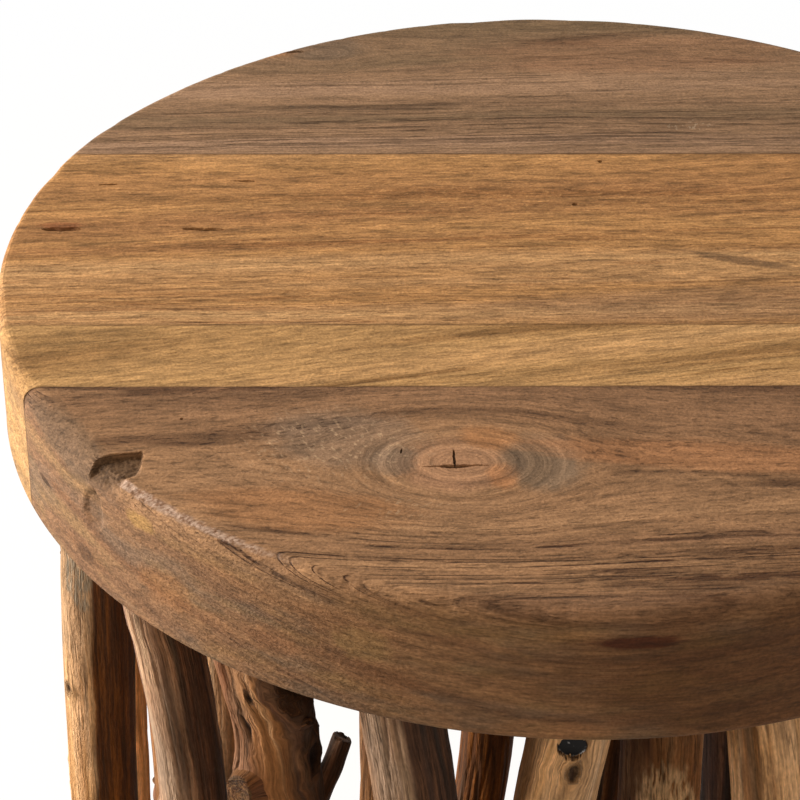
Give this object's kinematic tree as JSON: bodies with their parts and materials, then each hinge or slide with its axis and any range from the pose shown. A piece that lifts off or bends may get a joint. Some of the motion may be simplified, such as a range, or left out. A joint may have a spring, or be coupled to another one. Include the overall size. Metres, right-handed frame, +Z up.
{
  "type": "branch side table",
  "caption": "Round side table: a thick rustic top of edge-glued teak boards carried by a ring of crooked natural branches, housed over and screwed to hoops inside the ring.",
  "frame": {"origin": "on the floor under the middle of the round top", "axes": "+Z up, +X along the top's boards to the picture's right, -Y towards the picture's camera"},
  "size_m": [0.4, 0.4, 0.45],
  "materials": {
    "grey_brown_teak": "reclaimed teak, sanded, unfinished, greyish brown with dark pore lines",
    "golden_teak": "reclaimed teak, sanded, unfinished, golden brown with short flecks",
    "pale_teak": "teak sapwood strip, sanded, unfinished, pale golden",
    "knotty_teak": "reclaimed teak, sanded, unfinished, brown with a knot",
    "tan_branch": "peeled teak branch, weathered, tan with brown grooves",
    "grey_branch": "peeled teak branch, weathered, greyish tan",
    "brown_branch": "peeled teak branch, weathered, orange brown",
    "hoop_teak": "sawn teak, unfinished",
    "dowel_beech": "turned beech",
    "black_screw_steel": "black phosphated steel, matt"
  },
  "bodies": {
    "root": {"back_board": "grey_brown_teak", "middle_board": "golden_teak", "narrow_board": "pale_teak", "front_board": "knotty_teak", "board_dowels": "dowel_beech", "upper_hoop": "hoop_teak", "lower_hoop": "hoop_teak", "branch_01": "tan_branch", "branch_02": "grey_branch", "branch_03": "brown_branch", "branch_04": "grey_branch", "branch_05": "tan_branch", "branch_06": "tan_branch", "branch_07": "grey_branch", "branch_08": "brown_branch", "branch_09": "tan_branch", "branch_10": "grey_branch", "branch_11": "brown_branch", "branch_12": "tan_branch", "branch_13": "grey_branch", "branch_14": "brown_branch", "branch_15": "tan_branch", "branch_16": "grey_branch", "branch_17": "brown_branch", "branch_18": "tan_branch", "inner_branch_1": "brown_branch", "inner_branch_2": "brown_branch", "inner_branch_3": "tan_branch", "inner_branch_4": "grey_branch", "inner_branch_5": "brown_branch", "inner_branch_6": "tan_branch", "upper_branch_screws": "black_screw_steel", "lower_branch_screws": "black_screw_steel", "top_screws": "black_screw_steel"}
  },
  "joints": []
}
